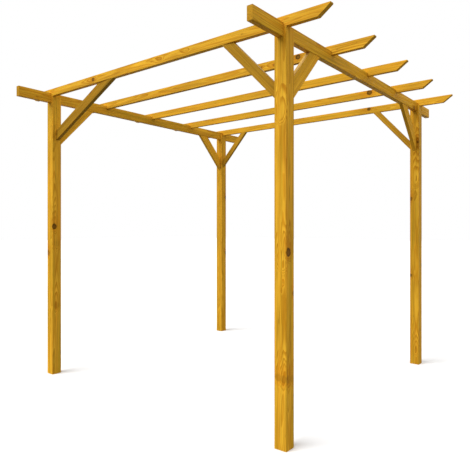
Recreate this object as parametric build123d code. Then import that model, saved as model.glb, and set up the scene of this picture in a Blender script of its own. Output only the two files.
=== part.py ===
"""Wooden garden pergola: four slotted posts, two beams, five notched rafters and eight knee braces.

Millimetres, +Z up. The origin is on the ground, midway between the four posts.
The beams run along X, and the rafters run along Y across the top of them.
Front is -Y and left is -X.
"""
from build123d import *
from math import atan2, cos, sin
import os

# Driving dimensions

POST_SIDE = 75.0            # square post
POST_SPACING_X = 2078.0     # centre to centre, along the beams
POST_SPACING_Y = 2173.0     # centre to centre, along the rafters
POST_HEIGHT = 2200.0        # ground to the top of the two cheeks beside the slot

BEAM_THICKNESS = 36.0
BEAM_DEPTH = 75.0
BEAM_OVERHANG = 265.0       # past the outer face of a post, at each end
SLOT_DEPTH = 50.0           # how far a beam sits down into a post

RAFTER_COUNT = 5
RAFTER_THICKNESS = 30.0
RAFTER_DEPTH = 56.0
RAFTER_OVERHANG = 252.0     # past the outer face of a post, at each end
SNIPE_LENGTH = 71.0         # sloping cut under each end of a rafter
SNIPE_NOSE = 6.0            # square end left above that cut

BRACE_THICKNESS = 28.0
BEAM_BRACE_WIDTH = 82.0
BEAM_BRACE_RUN = 326.0      # along the underside of a beam, from the post
BEAM_BRACE_DROP = 336.0     # down the post, from the underside of the beam

# The braces under the outer rafters were each cut to suit their own corner. A run goes along
# the underside of the rafter, from the post, and a drop goes down the post from there.
FRONT_LEFT_WIDTH = 58.0
FRONT_LEFT_RUN = 361.0
FRONT_LEFT_DROP = 372.0
FRONT_RIGHT_WIDTH = 46.0
FRONT_RIGHT_RUN = 350.0
FRONT_RIGHT_DROP = 374.0
BACK_LEFT_WIDTH = 72.0
BACK_LEFT_RUN = 755.0       # by far the longest and flattest one
BACK_LEFT_DROP = 345.0
BACK_RIGHT_WIDTH = 47.0
BACK_RIGHT_RUN = 302.0
BACK_RIGHT_DROP = 361.0
FOOT_STRAY = 30.0           # their feet stand this much nearer the pergola's middle than their heads

JOINT_CLEARANCE = 0.5       # each side of a beam in a slot or notch
EASED_EDGE = 2.5            # rounding of the long edges of posts and beams
FINE_EASED_EDGE = 1.5       # the same on rafters and braces

# Places that follow from them

POST_X = POST_SPACING_X / 2
POST_Y = POST_SPACING_Y / 2
HALF_POST = POST_SIDE / 2
BEAM_BOTTOM = POST_HEIGHT - SLOT_DEPTH
BEAM_TOP = BEAM_BOTTOM + BEAM_DEPTH
BEAM_LENGTH = POST_SPACING_X + POST_SIDE + 2 * BEAM_OVERHANG
RAFTER_BOTTOM = POST_HEIGHT
RAFTER_LENGTH = POST_SPACING_Y + POST_SIDE + 2 * RAFTER_OVERHANG
HOUSING_WIDTH = BEAM_THICKNESS + 2 * JOINT_CLEARANCE
NOTCH_DEPTH = BEAM_TOP - RAFTER_BOTTOM
# The outermost rafters are flush with the outer faces of the posts.
OUTER_RAFTER_X = POST_X + HALF_POST - RAFTER_THICKNESS / 2
RAFTER_PITCH = 2 * OUTER_RAFTER_X / (RAFTER_COUNT - 1)


def timber(length, thickness, depth, ease):
    """Planed stock lying along X on its narrow face, its long edges eased."""
    stock = Box(length, thickness, depth, align=(Align.CENTER, Align.CENTER, Align.MIN))
    return fillet(stock.edges().filter_by(Axis.X), ease)


def post():
    """An upright with a slot across its top, which leaves a cheek at the front and at the back."""
    upright = Box(POST_SIDE, POST_SIDE, POST_HEIGHT, align=(Align.CENTER, Align.CENTER, Align.MIN))
    upright = fillet(upright.edges().filter_by(Axis.Z), EASED_EDGE)
    slot = Box(2 * POST_SIDE, HOUSING_WIDTH, 2 * SLOT_DEPTH)
    return upright - Pos(0, 0, POST_HEIGHT) * slot


def beam():
    return timber(BEAM_LENGTH, BEAM_THICKNESS, BEAM_DEPTH, EASED_EDGE)


def snipe_cutter():
    """The wedge that is sawn from under a rafter's end, which lies at X = 0 with the rafter beyond it."""
    rise = RAFTER_DEPTH - SNIPE_NOSE
    wedge = make_face(Polyline((0, 0), (SNIPE_LENGTH, 0), (0, rise), close=True))
    return extrude(Plane.XZ * wedge, amount=RAFTER_THICKNESS, both=True)


def rafter():
    """A rafter along X, notched over both beams and sniped at both ends."""
    bar = timber(RAFTER_LENGTH, RAFTER_THICKNESS, RAFTER_DEPTH, FINE_EASED_EDGE)
    notch = Box(HOUSING_WIDTH, 2 * RAFTER_THICKNESS, 2 * NOTCH_DEPTH)
    wedge = Pos(-RAFTER_LENGTH / 2, 0, 0) * snipe_cutter()
    for turn in (0, 180):
        bar -= Rot(0, 0, turn) * (Pos(POST_Y, 0, 0) * notch)
        bar -= Rot(0, 0, turn) * wedge
    return bar


def brace(width, run, drop, stray=0.0):
    """A knee brace cut plumb against a post at X = 0 and level under Z = 0, its foot astray along Y."""
    foot = width / cos(atan2(drop, run))
    seat = Plane.YZ * Pos(stray, foot / 2 - drop) * Rectangle(BRACE_THICKNESS, foot)
    reach = Vector(run, -stray, drop)
    bar = split(extrude(seat, amount=reach.length, dir=reach), Plane.XY, keep=Keep.BOTTOM)
    return fillet(bar.edges().filter_by(Axis((0, 0, 0), reach)), FINE_EASED_EDGE)


def beam_brace():
    return brace(BEAM_BRACE_WIDTH, BEAM_BRACE_RUN, BEAM_BRACE_DROP)


def rafter_brace(corner, hand):
    """The brace for one corner. The pergola's middle is to its +Y or -Y side, as hand says."""
    sizes = {
        "front_left": (FRONT_LEFT_WIDTH, FRONT_LEFT_RUN, FRONT_LEFT_DROP),
        "front_right": (FRONT_RIGHT_WIDTH, FRONT_RIGHT_RUN, FRONT_RIGHT_DROP),
        "back_left": (BACK_LEFT_WIDTH, BACK_LEFT_RUN, BACK_LEFT_DROP),
        "back_right": (BACK_RIGHT_WIDTH, BACK_RIGHT_RUN, BACK_RIGHT_DROP),
    }
    return brace(*sizes[corner], stray=hand * FOOT_STRAY)


def pergola():
    """Every timber in its place, by name."""
    parts = {}
    sides = {"left": -1, "right": 1}
    ends = {"front": -1, "back": 1}
    for end, y_sign in ends.items():
        parts[f"beam_{end}"] = Pos(0, y_sign * POST_Y, BEAM_BOTTOM) * beam()
        for side, x_sign in sides.items():
            corner = f"{end}_{side}"
            parts[f"post_{corner}"] = Pos(x_sign * POST_X, y_sign * POST_Y, 0) * post()

            # One brace runs from the post towards the middle of the beam, and one along the rafter.
            at_beam = Pos(x_sign * (POST_X - HALF_POST), y_sign * POST_Y, BEAM_BOTTOM)
            inward = Rot(0, 0, 0 if side == "left" else 180)
            parts[f"beam_brace_{corner}"] = at_beam * inward * beam_brace()

            at_rafter = Pos(x_sign * OUTER_RAFTER_X, y_sign * (POST_Y - HALF_POST), RAFTER_BOTTOM)
            inward = Rot(0, 0, 90 if end == "front" else -90)
            braced = rafter_brace(corner, hand=-x_sign * y_sign)
            parts[f"rafter_brace_{corner}"] = at_rafter * inward * braced

    for number in range(RAFTER_COUNT):
        x = -OUTER_RAFTER_X + number * RAFTER_PITCH
        parts[f"rafter_{number + 1}"] = Pos(x, 0, RAFTER_BOTTOM) * Rot(0, 0, 90) * rafter()
    return parts


os.makedirs("parts", exist_ok=True)
for name, solid in pergola().items():
    export_step(solid, f"parts/{name}.step")
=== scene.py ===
import random
from collections import namedtuple
from math import cos, pi, radians, sin

import bpy
from mathutils import Euler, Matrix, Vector


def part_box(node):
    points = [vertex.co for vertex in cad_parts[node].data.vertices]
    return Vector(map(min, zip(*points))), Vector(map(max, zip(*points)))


# Looks of a wooden garden pergola: honey-stained pine timbers on a plain studio floor.
# Metres, +Z up. The origin is on the ground, midway between the four posts.
# The beams run along X, the rafters along Y, front is -Y and left is -X.

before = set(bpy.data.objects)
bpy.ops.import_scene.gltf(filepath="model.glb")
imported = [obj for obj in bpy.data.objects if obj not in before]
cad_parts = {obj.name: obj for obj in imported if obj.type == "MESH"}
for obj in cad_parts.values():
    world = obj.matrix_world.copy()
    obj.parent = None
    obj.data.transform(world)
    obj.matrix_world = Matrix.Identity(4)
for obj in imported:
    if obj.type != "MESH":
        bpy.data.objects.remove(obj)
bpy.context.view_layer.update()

# Colours of the stained pine, as they look in daylight, in 8-bit steps of red, green and blue

EARLY_WOOD = (222, 170, 47)     # the pale, wide part of a growth ring
LATE_WOOD = (182, 122, 18)      # its dark, narrow part
WARM_STREAK = (206, 138, 32)    # resin-rich bands, which the stain turns orange
COOL_STREAK = (184, 145, 33)    # thirsty bands, which the stain turns olive
KNOT_HEART = (66, 46, 8)
KNOT_RIM = (46, 32, 5)
KNOT_HALO = (188, 114, 16)      # crowded rings round a knot
PAINTED_TOP_HIGHLIGHT = (242, 206, 132)      # painted highlight: upward faces are made paler, as if lit more
END_WOOD = (156, 114, 30)       # cut ends drink more stain
WORN_AND_HIGHLIT_EDGE = (234, 188, 84)      # stain rubbed thin along an arris, made paler still as a painted highlight
CHECK = (88, 58, 12)            # fine cracks, where the timber dried too fast

# How the timber grew, in metres

POST_RING = 0.0052
BEAM_RING = 0.0056
RAFTER_RING = 0.0050
BRACE_RING = 0.0060
KNOT_DEPTH = 0.024              # how deep a branch is sunk into a timber
KNOT_STRETCH = 0.95             # under 1, knots are longer along the grain than across it
WHORL_STRETCH = 0.40            # the same for the swell of rings round them
BRANCH_LEAN = 0.25              # how far a branch leans along the grain, for each step outwards
SMALL_KNOTS = (0.005, 0.011)    # least and greatest radius of the knots on hidden faces
RELIEF = 0.001                  # height of the grain, at a Height of 1
EASED_ARRIS = 0.0012            # how far the light shows a sawn corner to be rounded
EDGE_REACH = 0.003              # how far the worn edge and its painted highlight reach in from an arris
BEVEL_SAMPLES = 6
SHEEN = 0.04                    # a satin stain, of which little shines

# Each mark of the wood, and the painted highlight on upward faces: how strongly it colours it and with
# what, from the first layer to the last
LAYERS = (
    ("Warm", 0.58, WARM_STREAK),
    ("Cool", 0.60, COOL_STREAK),
    ("Halo", 0.50, KNOT_HALO),
    # painted highlight on upward faces, at full strength
    ("Top Highlight", 1.00, PAINTED_TOP_HIGHLIGHT),
    # worn arrises, made paler still as a painted highlight
    ("Edge Wear And Highlight", 0.42, WORN_AND_HIGHLIT_EDGE),
    ("End", 0.60, END_WOOD),
    ("Core", 0.90, KNOT_HEART),
    ("Rim", 0.85, KNOT_RIM),
    ("Check", 0.65, CHECK),
)

# Marks that run along the fibres: waves to the metre along and across the grain, the shift from
# the timber's seed, how fine the noise is, and the levels of noise where the mark starts and is full
Mark = namedtuple("Mark", "along across shift detail roughness start full")
MARKS = {
    "Warm": Mark(2.2, 46, 0.0, 4.0, 0.60, 0.46, 0.74),
    "Cool": Mark(1.4, 30, 7.3, 3.0, 0.55, 0.46, 0.72),
    "Streak": Mark(3.0, 130, 1.7, 3.0, 0.65, 0.32, 0.68),
    "Soak": Mark(2.6, 14, 4.1, 2.0, 0.50, 0.30, 0.70),
}

# Studio. A lamp's strength is the light on a white face that is square to it, as a share of white.

SKY_FILL = 0.50                 # even light from all round
FLOOR_TONE = (250, 250, 250)    # the floor as the camera sees it
FLOOR_BOUNCE = 0.16             # the share of light that the floor throws back onto the object
FLOOR_SIZE = 80.0
Lamp = namedtuple("Lamp", "toward strength spread")
LAMPS = {
    "key_light": Lamp((-0.68, 0.30, 0.72), 0.95, 50.0),      # high, from the left and a little behind
    "front_light": Lamp((0.10, -1.00, 0.25), 0.345, 90.0),   # broad and weak, for the front faces
    "right_light": Lamp((0.90, 0.50, 0.35), 0.16, 90.0),     # weaker still, for the faces turned away
}

# Camera, as the photograph was taken: level, from the front left corner

CAMERA_PLACE = (-3.234, -2.4952, 1.1583)
SEEN_FROM = Vector((-1, -1, 0))     # the faces turned this way are the ones in the photograph
CAMERA_AZIMUTH = -51.62
CAMERA_LENS = 37.785
SENSOR_WIDTH = 36.0
PICTURE_SIDE = 470
HORIZON_ABOVE_MIDDLE = 7.23     # pixels of the picture


def colour(rgb):
    """8-bit display colour to the linear colour that shaders use."""
    def linear(step):
        share = step / 255
        return share / 12.92 if share <= 0.04045 else ((share + 0.055) / 1.055) ** 2.4
    return (*(linear(step) for step in rgb), 1.0)


# Building blocks for shader trees

def join(tree, value, socket):
    """Feeds a socket from a signal, another socket or a plain value."""
    if isinstance(value, Signal):
        value = value.socket
    if isinstance(value, bpy.types.NodeSocket):
        tree.links.new(value, socket)
    else:
        socket.default_value = value


def add_node(tree, kind, inputs, **settings):
    """A node with its settings and inputs, which are keyed by name or number."""
    node = tree.nodes.new(kind)
    for name, value in settings.items():
        setattr(node, name, value)
    for key, value in inputs.items():
        join(tree, value, node.inputs[key])
    return node


class Signal:
    """A number that varies over a surface. Arithmetic on it adds Math nodes to its tree."""

    def __init__(self, tree, socket):
        self.tree = tree
        self.socket = socket

    def math(self, operation, *others):
        inputs = dict(enumerate((self, *others)))
        node = add_node(self.tree, "ShaderNodeMath", inputs, operation=operation)
        return Signal(self.tree, node.outputs[0])

    def __add__(self, other):
        return self.math("ADD", other)

    def __sub__(self, other):
        return self.math("SUBTRACT", other)

    def __mul__(self, other):
        return self.math("MULTIPLY", other)

    def __truediv__(self, other):
        return self.math("DIVIDE", other)

    def greatest(self, other):
        return self.math("MAXIMUM", other)

    def least(self, other):
        return self.math("MINIMUM", other)

    def opposite(self):
        """One minus the signal."""
        return self.math("MULTIPLY_ADD", -1.0, 1.0)

    def step(self, low, high):
        """Eases from 0 at low to 1 at high. High may be the lower of the two."""
        inputs = {"Value": self, "From Min": low, "From Max": high}
        settings = {"interpolation_type": "SMOOTHSTEP", "clamp": True}
        if low > high:
            inputs = {"Value": self, "From Min": high, "From Max": low, "To Min": 1.0, "To Max": 0.0}
        node = add_node(self.tree, "ShaderNodeMapRange", inputs, **settings)
        return Signal(self.tree, node.outputs[0])


def vector_math(tree, operation, first, second):
    inputs = {0: first, 1: second}
    if operation == "SCALE":
        inputs = {0: first, "Scale": second}
    return add_node(tree, "ShaderNodeVectorMath", inputs, operation=operation)


def vector(tree, operation, first, second):
    """The vector that comes out of a Vector Math node."""
    return vector_math(tree, operation, first, second).outputs["Vector"]


def dot(tree, first, second):
    return Signal(tree, vector_math(tree, "DOT_PRODUCT", first, second).outputs["Value"])


def length(tree, first):
    return Signal(tree, vector_math(tree, "LENGTH", first, (0, 0, 0)).outputs["Value"])


def parts_of(tree, place):
    """The three parts of a vector, as signals."""
    node = add_node(tree, "ShaderNodeSeparateXYZ", {0: place})
    return [Signal(tree, socket) for socket in node.outputs]


def noise(tree, place, scale, seed, detail=2.0, roughness=0.5):
    """Cloudy noise about 0.5. Scale is waves to the metre along each axis."""
    stretched = vector(tree, "MULTIPLY", place, scale)
    inputs = {"Vector": stretched, "W": seed, "Scale": 1.0, "Detail": detail, "Roughness": roughness}
    node = add_node(tree, "ShaderNodeTexNoise", inputs, noise_dimensions="4D")
    return Signal(tree, node.outputs["Fac"])


def drift(tree, along, waves, seed):
    """Three slow wanderings, about 0.5, that depend on one number alone."""
    inputs = {"W": along * waves + seed, "Scale": 1.0, "Detail": 1.0}
    node = add_node(tree, "ShaderNodeTexNoise", inputs, noise_dimensions="1D")
    return parts_of(tree, node.outputs["Color"])


def mix(tree, share, first, second):
    """A colour between two others. The numbers are the node's sockets for a share and two colours."""
    node = add_node(tree, "ShaderNodeMix", {0: share, 6: first, 7: second}, data_type="RGBA")
    return node.outputs[2]


SOCKET_KINDS = {"vector": "NodeSocketVector", "number": "NodeSocketFloat", "colour": "NodeSocketColor"}
Group = namedtuple("Group", "tree inputs results")


def new_group(name, inputs, outputs):
    """A shader node group with named sockets. Both are given as {name: kind}."""
    tree = bpy.data.node_groups.new(name, "ShaderNodeTree")
    for label, kind in inputs.items():
        tree.interface.new_socket(label, in_out="INPUT", socket_type=SOCKET_KINDS[kind])
    for label, kind in outputs.items():
        tree.interface.new_socket(label, in_out="OUTPUT", socket_type=SOCKET_KINDS[kind])
    entry = tree.nodes.new("NodeGroupInput")
    end = tree.nodes.new("NodeGroupOutput")
    entries = {}
    for label, kind in inputs.items():
        socket = entry.outputs[label]
        entries[label] = Signal(tree, socket) if kind == "number" else socket
    return Group(tree, entries, end.inputs)


def place_group(tree, group, inputs):
    """A group placed in a tree with its own values. It returns the outputs by name."""
    node = add_node(tree, "ShaderNodeGroup", {}, node_tree=group.tree)
    for label, value in inputs.items():
        join(tree, value, node.inputs[label])
    return {socket.name: Signal(tree, socket) for socket in node.outputs}


# Shared effects

def growth_rings():
    """Rings round a pith line that wanders, so that flat faces show arches and cut ends show arcs."""
    inputs = {"Place": "vector", "Pith": "vector", "Ring Width": "number", "Wander": "number",
              "Swell": "number", "Seed": "number"}
    outputs = {"Late Wood": "number", "Ring Tone": "number", "Band Tone": "number"}
    group = new_group("growth_rings", inputs, outputs)
    tree, given, results = group
    along = parts_of(tree, given["Place"])[0]
    slow = drift(tree, along, 1.3, given["Seed"])
    wander = add_node(tree, "ShaderNodeCombineXYZ", {
        "Y": (slow[0] - 0.5) * given["Wander"],
        "Z": (slow[1] - 0.5) * given["Wander"],
    }).outputs[0]
    centred = vector(tree, "SUBTRACT", given["Place"], given["Pith"])
    centred = vector(tree, "SUBTRACT", centred, wander)
    radius = length(tree, vector(tree, "MULTIPLY", centred, (0, 1, 1)))
    ripple = noise(tree, given["Place"], (5, 40, 40), given["Seed"], detail=2.0) - 0.5
    uneven = drift(tree, radius, 90, given["Seed"])[0]
    rings = radius / given["Ring Width"] + ripple * 1.3 + uneven * 1.6 - given["Swell"]
    phase = rings.math("FRACT")
    late = phase.step(0.25, 0.88) * phase.step(1.0, 0.92)
    ring = add_node(tree, "ShaderNodeTexWhiteNoise", {"W": rings.math("FLOOR") + given["Seed"]},
                    noise_dimensions="1D")
    broad = drift(tree, rings, 0.42, given["Seed"] + 3.1)[0]
    join(tree, late, results["Late Wood"])
    join(tree, ring.outputs["Value"], results["Ring Tone"])
    join(tree, broad.step(0.30, 0.70), results["Band Tone"])
    return group


def knot_effect():
    """A branch that grew out from the pith: a cone with a dark rim, and the swell of rings round it."""
    inputs = {"Place": "vector", "Centre": "vector", "Branch": "vector", "Length": "number",
              "Radius": "number", "Swirl": "number", "Heart": "number"}
    outputs = {"Core": "number", "Rim": "number", "Halo": "number", "Swell": "number"}
    group = new_group("knot", inputs, outputs)
    tree, given, results = group
    offset = vector(tree, "SUBTRACT", given["Place"], given["Centre"])
    outward = dot(tree, offset, given["Branch"])
    on_axis = vector(tree, "SCALE", given["Branch"], outward)
    across = vector(tree, "SUBTRACT", offset, on_axis)
    spread = ((outward + given["Length"]) / given["Length"]).greatest(0.03).least(1.4)
    radius_here = given["Radius"] * spread
    ragged = noise(tree, given["Place"], (55, 55, 55), 0.0, detail=3.0) - 0.5
    near = length(tree, vector(tree, "MULTIPLY", across, (KNOT_STRETCH, 1, 1))) / radius_here + ragged * 0.7
    own_rings = (near * 5.0 + ragged * 2.0).math("FRACT").step(0.2, 1.0)
    core = near.step(1.15, 0.60) * (own_rings * 0.30 + 0.70)
    rim = near.step(0.55, 0.92) * near.step(1.28, 0.98) * given["Heart"]
    far = length(tree, vector(tree, "MULTIPLY", across, (WHORL_STRETCH, 1, 1))) / radius_here
    swell = (far * far * -0.22).math("EXPONENT")
    halo = (far + ragged * 1.6).step(2.6, 0.4)

    # The heart counts twice in the rim, so that a branch under the surface loses its rim first.
    join(tree, core * given["Heart"], results["Core"])
    join(tree, rim * given["Heart"], results["Rim"])
    join(tree, halo * (given["Heart"] * 2.0).least(1.0), results["Halo"])
    join(tree, swell * given["Swirl"], results["Swell"])
    return group


def fibre_effect():
    """Long soft streaks of unevenly taken stain, and the fine fibres of planed pine."""
    outputs = {name: "number" for name in (*MARKS, "Fibre", "Check")}
    group = new_group("fibres", {"Place": "vector", "Seed": "number"}, outputs)
    tree, given, results = group
    place, seed = given["Place"], given["Seed"]
    for name, mark in MARKS.items():
        scale = (mark.along, mark.across, mark.across)
        cloud = noise(tree, place, scale, seed + mark.shift, mark.detail, mark.roughness)
        join(tree, cloud.step(mark.start, mark.full), results[name])
    fibre = noise(tree, place, (12, 420, 420), seed, detail=3.0, roughness=0.6)
    join(tree, fibre, results["Fibre"])

    # A check follows a level line of slow noise, and opens only in some places.
    crack = noise(tree, place, (1.2, 34, 34), seed + 2.9, detail=1.0)
    patch = noise(tree, place, (2.4, 22, 22), seed + 5.7, detail=1.0)
    line = (crack - 0.5).math("ABSOLUTE").step(0.0040, 0.0010)
    join(tree, line * patch.step(0.58, 0.66), results["Check"])
    return group


def edge_wear_and_highlight():
    """Where an arris has lost some stain and carries a painted highlight: the bent normal near it, broken
    up by noise.
    """
    inputs = {"Place": "vector", "Reach": "number", "Seed": "number"}
    group = new_group("edge_wear_and_highlight", inputs, {"Edge Wear And Highlight": "number"})
    tree, given, results = group
    rounded = add_node(tree, "ShaderNodeBevel", {"Radius": given["Reach"]}, samples=BEVEL_SAMPLES)
    plain = tree.nodes.new("ShaderNodeNewGeometry")
    bend = dot(tree, rounded.outputs[0], plain.outputs["Normal"]).opposite()
    patchy = noise(tree, given["Place"], (9, 60, 60), given["Seed"], detail=3.0)
    join(tree, bend.step(0.01, 0.16) * patchy.step(0.30, 0.62), results["Edge Wear And Highlight"])
    return group


def lie_of_face():
    """End is 1 on a face sawn across the grain and 0 along it. The second mask is 1 on a face that looks
    up; it carries a painted highlight.
    """
    group = new_group("lie_of_face", {"Grain": "vector"}, {"End": "number", "Upturned": "number"})
    tree, given, results = group
    normal = tree.nodes.new("ShaderNodeTexCoord").outputs["Normal"]
    facing = dot(tree, normal, given["Grain"]).math("ABSOLUTE")
    join(tree, facing.step(0.30, 0.80), results["End"])
    join(tree, parts_of(tree, normal)[2].step(0.45, 0.80), results["Upturned"])
    return group


def stained_pine():
    """Colour, roughness and height of honey-stained pine, from the masks of the other effects."""
    names = ("Late Wood", "Ring Tone", "Band Tone", "Swell", "Warm", "Cool", "Streak", "Soak",
             "Fibre", "Check", "Core", "Rim", "Halo", "End", "Upturned", "Edge Wear And Highlight", "Tone")
    outputs = {"Color": "colour", "Roughness": "number", "Height": "number"}
    group = new_group("stained_pine", {name: "number" for name in names}, outputs)
    tree, given, results = group
    late = given["Late Wood"] * (given["Swell"].least(1.0) * 0.35 + 0.60)
    wood = mix(tree, late + given["Band Tone"] * 0.22, colour(EARLY_WOOD), colour(LATE_WOOD))
    # Upward faces get a painted highlight, stronger along the streaks.
    marks = {**given, "Top Highlight": given["Upturned"] * (given["Streak"] * 0.35 + 0.48)}
    for name, share, stain in LAYERS:
        wood = mix(tree, marks[name] * share, wood, colour(stain))
    gain = given["Ring Tone"] * 0.12 + given["Streak"] * 0.34 + given["Soak"] * 0.20
    gain = gain + given["Fibre"] * 0.36 + 0.57
    gain = gain * given["Tone"]
    join(tree, vector(tree, "SCALE", wood, gain), results["Color"])
    rough = given["Fibre"] * 0.16 + given["End"] * 0.16 + given["Edge Wear And Highlight"] * 0.06 + 0.52
    join(tree, rough - given["Core"] * 0.10 - late * 0.08, results["Roughness"])
    height = late * 0.10 + given["Fibre"] * 0.12 + given["Core"] * 0.12
    join(tree, height - given["Rim"] * 0.16 - given["Check"] * 0.60, results["Height"])
    return group


GROWTH_RINGS = growth_rings()
KNOT = knot_effect()
FIBRES = fibre_effect()
EDGE_WEAR_AND_HIGHLIGHT = edge_wear_and_highlight()
LIE_OF_FACE = lie_of_face()
STAINED_PINE = stained_pine()


# Timbers and how each one lies

Timber = namedtuple("Timber", "name middle turn half seed ring pith wander tone")
Knot = namedtuple("Knot", "place radius swirl heart", defaults=(1.0,))

# Knots and dark spots that show in the photograph, as places on a timber's faces in the frame. A heart
# under 1
# stands for a branch that stays under the surface, of which only the whorl round it shows.
SEEN_KNOTS = {
    "post_front_left": [
        Knot((-1.056, -1.124, 1.026), 0.018, 3.4),
        Knot((-1.077, -1.104, 0.975), 0.020, 4.0, 0.0),
        Knot((-1.077, -1.104, 0.874), 0.006, 1.4, 0.25),
        Knot((-1.077, -1.094, 0.831), 0.005, 1.2, 0.20),
        Knot((-1.004, -1.124, 0.810), 0.013, 1.8, 0.60),
        Knot((-1.077, -1.108, 0.370), 0.018, 1.4, 0.36),
        Knot((-1.077, -1.072, 0.374), 0.018, 1.4, 0.36),
        Knot((-1.058, -1.124, 0.368), 0.018, 1.2, 0.36),
        Knot((-1.022, -1.124, 0.364), 0.016, 1.2, 0.30),
        Knot((-1.077, -1.080, 1.750), 0.022, 3.0, 0.0),
    ],
    "post_back_left": [
        Knot((-1.062, 1.049, 1.163), 0.018, 2.6),
        Knot((-1.077, 1.112, 0.957), 0.018, 1.6, 0.60),
        Knot((-1.040, 1.049, 1.030), 0.024, 2.0, 0.18),
        Knot((-1.040, 1.049, 0.537), 0.022, 2.0, 0.22),
    ],
    "post_front_right": [
        Knot((1.002, -1.088, 1.570), 0.042, 6.5, 0.0),
        Knot((1.002, -1.115, 1.885), 0.009, 1.6, 0.80),
        Knot((1.002, -1.056, 1.404), 0.013, 2.6, 0.70),
        Knot((1.002, -1.058, 0.751), 0.010, 2.0, 0.80),
        Knot((1.072, -1.124, 0.842), 0.011, 1.8, 0.80),
        Knot((1.002, -1.090, 0.130), 0.028, 4.0, 0.10),
    ],
    "post_back_right": [
        Knot((1.070, 1.049, 1.496), 0.014, 2.2, 0.85),
        Knot((1.070, 1.049, 0.874), 0.012, 2.0, 0.85),
    ],
    "rafter_1": [
        Knot((-1.077, 0.519, 2.229), 0.013, 2.2, 0.90),
        Knot((-1.077, -0.180, 2.226), 0.009, 1.6, 0.10),
        Knot((-1.077, -0.410, 2.232), 0.008, 1.4, 0.10),
    ],
    "rafter_2": [
        # Three dark spots on the front overhang, drawn with the knot effect.
        Knot((-0.546, -0.876, 2.236), 0.014, 2.4),
        Knot((-0.546, -0.693, 2.222), 0.008, 1.8, 0.60),
        Knot((-0.546, -0.593, 2.230), 0.006, 1.6, 0.50),
    ],
    "rafter_4": [Knot((0.516, -0.898, 2.236), 0.017, 2.6)],
    "rafter_5": [Knot((1.046, -0.664, 2.240), 0.013, 1.8)],
    "beam_back": [Knot((-1.193, 1.050, 2.171), 0.012, 2.0, 0.80)],
    "beam_front": [Knot((0.935, -1.105, 2.162), 0.017, 3.0, 0.80)],
}


def size_of(name):
    low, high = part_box(name)
    return high - low


def reach_of(name):
    """The way from a brace's foot on its post to its head. A rafter brace leans outwards as well."""
    size = size_of(name)
    right, front = "right" in name, "front" in name
    if name.startswith("beam"):
        return Vector((-size.x if right else size.x, 0, size.z))
    thickness = size_of(name.replace("rafter", "beam")).y
    lean = size.x - thickness
    return Vector((lean if right else -lean, size.y if front else -size.y, size.z))


def turn_of(name):
    """The turn that takes the X axis to the timber's grain."""
    if name.startswith("post"):
        return Euler((0, -pi / 2, 0))
    if "brace" in name:
        return reach_of(name).to_track_quat("X", "Z").to_euler()
    if name.startswith("rafter"):
        return Euler((0, 0, pi / 2))
    return Euler((0, 0, 0))


def half_size(node, middle, turn):
    """Half of the timber's length, thickness and depth, along its own axes."""
    back = turn.to_matrix().transposed()
    places = [back @ (corner.co - middle) for corner in node.data.vertices]
    return Vector([max(abs(place[axis]) for place in places) for axis in range(3)])


# Ring width, how far the pith lies from the middle, how far it wanders, and how light the timber is made
Growth = namedtuple("Growth", "ring reach wander tone")
GROWTH = {
    "post": Growth(POST_RING, 0.026, 0.050, 1.00),
    "beam": Growth(BEAM_RING, 0.045, 0.040, 1.00),
    "rafter": Growth(RAFTER_RING, 0.045, 0.034, 1.04),
    "beam_brace": Growth(BRACE_RING, 0.040, 0.024, 1.00),
    # The rafter braces are made much darker all over than the other timbers.
    "rafter_brace": Growth(BRACE_RING, 0.040, 0.024, 0.60),
}

# Timbers that came out a little darker or lighter than the rest of their kind
SEEN_TONES = {
    "post_front_left": 0.975,
    "post_front_right": 0.89,
    "post_back_left": 1.02,
    "post_back_right": 0.97,
    "beam_brace_front_left": 0.91,
    "beam_brace_back_left": 1.08,
    "beam_brace_back_right": 1.14,
    "rafter_brace_front_left": 0.94,
    "rafter_brace_back_right": 1.12,
    "rafter_brace_back_left": 0.95,
    "rafter_2": 0.91,
    "rafter_4": 0.92,
    "rafter_5": 0.94,
}


def family_of(name):
    if "brace" in name:
        return "_".join(name.split("_")[:2])
    return name.split("_")[0]


def read_timber(name, node, seed):
    low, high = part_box(name)
    middle = (low + high) / 2
    turn = turn_of(name)
    growth = GROWTH[family_of(name)]
    draw = random.Random(seed)
    angle = draw.uniform(0, 2 * pi)
    pith = Vector((0, cos(angle), sin(angle))) * growth.reach * draw.uniform(0.6, 1.0)
    half = half_size(node, middle, turn)
    tone = growth.tone * SEEN_TONES.get(name, 1.0)
    return Timber(name, middle, turn, half, seed, growth.ring, pith, growth.wander, tone)


# The outward normals of the four long faces, on a timber's own axes
LONG_FACES = [Vector((0, 1, 0)), Vector((0, -1, 0)), Vector((0, 0, 1)), Vector((0, 0, -1))]


def drawn_knots(timber):
    """Small knots on the long faces that the photograph doesn't show, about one to a metre."""
    draw = random.Random(timber.seed + 100)
    turn = timber.turn.to_matrix()
    hidden = [face for face in LONG_FACES if (turn @ face).dot(SEEN_FROM) < 0.1]
    count = max(1, round(timber.half.x * 2))
    knots = []
    for number in range(count):
        along = (number + draw.uniform(0.2, 0.8)) / count * 2 - 1
        face = draw.choice(hidden)
        aside = face.cross(Vector((1, 0, 0))) * draw.uniform(-0.7, 0.7)
        place = Vector((along * 0.9, *(face + aside).yz)) * timber.half
        radius = draw.uniform(*SMALL_KNOTS)
        swirl = draw.uniform(1.4, 2.2)
        knots.append(Knot(place, radius, swirl, heart=draw.uniform(0.5, 1.0)))
    return knots


def knots_of(timber):
    """Every knot of a timber, with its place on the timber's own axes."""
    back = timber.turn.to_matrix().transposed()
    seen = []
    for knot in SEEN_KNOTS.get(timber.name, []):
        seen.append(knot._replace(place=back @ (Vector(knot.place) - timber.middle)))
    return seen + drawn_knots(timber)


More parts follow.
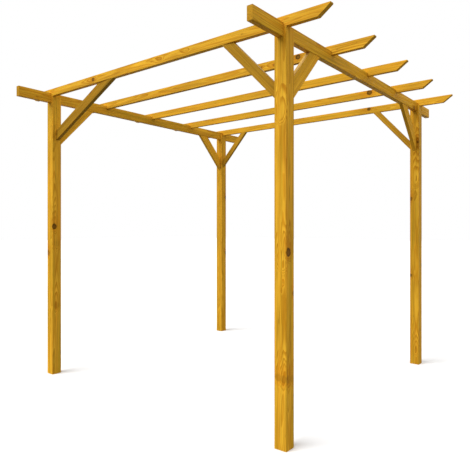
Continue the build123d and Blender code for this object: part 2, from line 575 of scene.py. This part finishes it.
def branch_of(timber, knot):
    """The way a branch comes out of a timber: square to the nearest face, and leaning along the grain."""
    sunk = {}
    for face in LONG_FACES:
        half_way = abs(timber.half.dot(face))
        sunk[half_way - knot.place.dot(face)] = face
    return (sunk[min(sunk)] + Vector((BRANCH_LEAN, 0, 0))).normalized()


# Materials

def knot_masks(tree, timber, place):
    """All knots of a timber, gathered into one set of masks."""
    gathered = {}
    for knot in knots_of(timber):
        inputs = {
            "Place": place,
            "Centre": knot.place,
            "Branch": branch_of(timber, knot),
            "Length": KNOT_DEPTH,
            "Radius": knot.radius,
            "Swirl": knot.swirl,
            "Heart": knot.heart,
        }
        masks = place_group(tree, KNOT, inputs)
        for name, mask in masks.items():
            if name not in gathered:
                gathered[name] = mask
            elif name == "Swell":
                gathered[name] = gathered[name] + mask
            else:
                gathered[name] = gathered[name].greatest(mask)
    return gathered


def timber_material(timber):
    """Stained pine whose grain runs along this timber."""
    material = bpy.data.materials.new(f"pine_{timber.name}")
    material.use_nodes = True
    tree = material.node_tree
    shader = tree.nodes["Principled BSDF"]
    frame_place = tree.nodes.new("ShaderNodeTexCoord").outputs["Object"]
    mapping = add_node(tree, "ShaderNodeMapping", {
        "Vector": frame_place,
        "Location": timber.middle,
        "Rotation": timber.turn,
    }, vector_type="TEXTURE")
    place = mapping.outputs[0]
    grain = timber.turn.to_matrix() @ Vector((1, 0, 0))
    masks = knot_masks(tree, timber, place)
    seed = float(timber.seed)
    masks |= place_group(tree, GROWTH_RINGS, {
        "Place": place,
        "Pith": timber.pith,
        "Ring Width": timber.ring,
        "Wander": timber.wander,
        "Swell": masks["Swell"],
        "Seed": seed,
    })
    masks |= place_group(tree, FIBRES, {"Place": place, "Seed": seed})
    masks |= place_group(tree, LIE_OF_FACE, {"Grain": grain})
    masks |= place_group(tree, EDGE_WEAR_AND_HIGHLIGHT, {"Place": place, "Reach": EDGE_REACH, "Seed": seed})
    finish = place_group(tree, STAINED_PINE, {**masks, "Tone": timber.tone})
    join(tree, finish["Color"], shader.inputs["Base Color"])
    join(tree, finish["Roughness"], shader.inputs["Roughness"])
    shader.inputs["Specular IOR Level"].default_value = SHEEN
    eased = add_node(tree, "ShaderNodeBevel", {"Radius": EASED_ARRIS}, samples=BEVEL_SAMPLES)
    bump = add_node(tree, "ShaderNodeBump", {
        "Height": finish["Height"],
        "Strength": 1.0,
        "Distance": RELIEF,
        "Normal": eased.outputs[0],
    })
    join(tree, bump.outputs[0], shader.inputs["Normal"])
    return material


def dress_timbers():
    for seed, name in enumerate(sorted(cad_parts), start=1):
        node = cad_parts[name]
        material = timber_material(read_timber(name, node, seed))
        for slot in node.material_slots:
            slot.material = material


# Studio

def white_seen(tree):
    """1 where the camera looks, straight, by gloss or through glass, and 0 for the light on the object."""
    path = tree.nodes.new("ShaderNodeLightPath")
    camera = Signal(tree, path.outputs["Is Camera Ray"])
    glossy = Signal(tree, path.outputs["Is Glossy Ray"])
    through = Signal(tree, path.outputs["Is Transmission Ray"])
    return camera.greatest(glossy).greatest(through)


def make_floor():
    half = FLOOR_SIZE / 2
    mesh = bpy.data.meshes.new("studio_floor")
    corners = [(-half, -half, 0), (half, -half, 0), (half, half, 0), (-half, half, 0)]
    mesh.from_pydata(corners, [], [(0, 1, 2, 3)])
    floor = bpy.data.objects.new("studio_floor", mesh)
    bpy.context.scene.collection.objects.link(floor)
    material = bpy.data.materials.new("pale_floor")
    material.use_nodes = True
    tree = material.node_tree
    shader = tree.nodes["Principled BSDF"]
    shader.inputs["Roughness"].default_value = 0.9
    shader.inputs["Specular IOR Level"].default_value = 0.0
    bounce = (FLOOR_BOUNCE, FLOOR_BOUNCE, FLOOR_BOUNCE, 1.0)
    join(tree, mix(tree, white_seen(tree), bounce, colour(FLOOR_TONE)), shader.inputs["Base Color"])
    mesh.materials.append(material)


def light_world():
    world = bpy.data.worlds.new("studio")
    world.use_nodes = True
    bpy.context.scene.world = world
    tree = world.node_tree
    background = tree.nodes["Background"]
    background.inputs["Color"].default_value = (1, 1, 1, 1)
    seen = white_seen(tree)
    join(tree, seen * (1 - SKY_FILL) + SKY_FILL, background.inputs["Strength"])


def softbox(name, lamp):
    """A broad lamp far off in one direction."""
    light = bpy.data.lights.new(name, "SUN")
    light.energy = lamp.strength * pi
    light.angle = radians(lamp.spread)
    holder = bpy.data.objects.new(name, light)
    holder.rotation_euler = Vector(lamp.toward).to_track_quat("Z", "Y").to_euler()
    bpy.context.scene.collection.objects.link(holder)


def place_camera():
    lens = bpy.data.cameras.new("camera")
    lens.sensor_width = SENSOR_WIDTH
    lens.lens = CAMERA_LENS
    lens.shift_y = -HORIZON_ABOVE_MIDDLE / PICTURE_SIDE
    camera = bpy.data.objects.new("camera", lens)
    camera.location = CAMERA_PLACE
    camera.rotation_euler = (pi / 2, 0, radians(CAMERA_AZIMUTH))
    bpy.context.scene.collection.objects.link(camera)
    bpy.context.scene.camera = camera


dress_timbers()
make_floor()
light_world()
for name, lamp in LAMPS.items():
    softbox(name, lamp)
place_camera()
bpy.context.scene.view_settings.view_transform = "Standard"
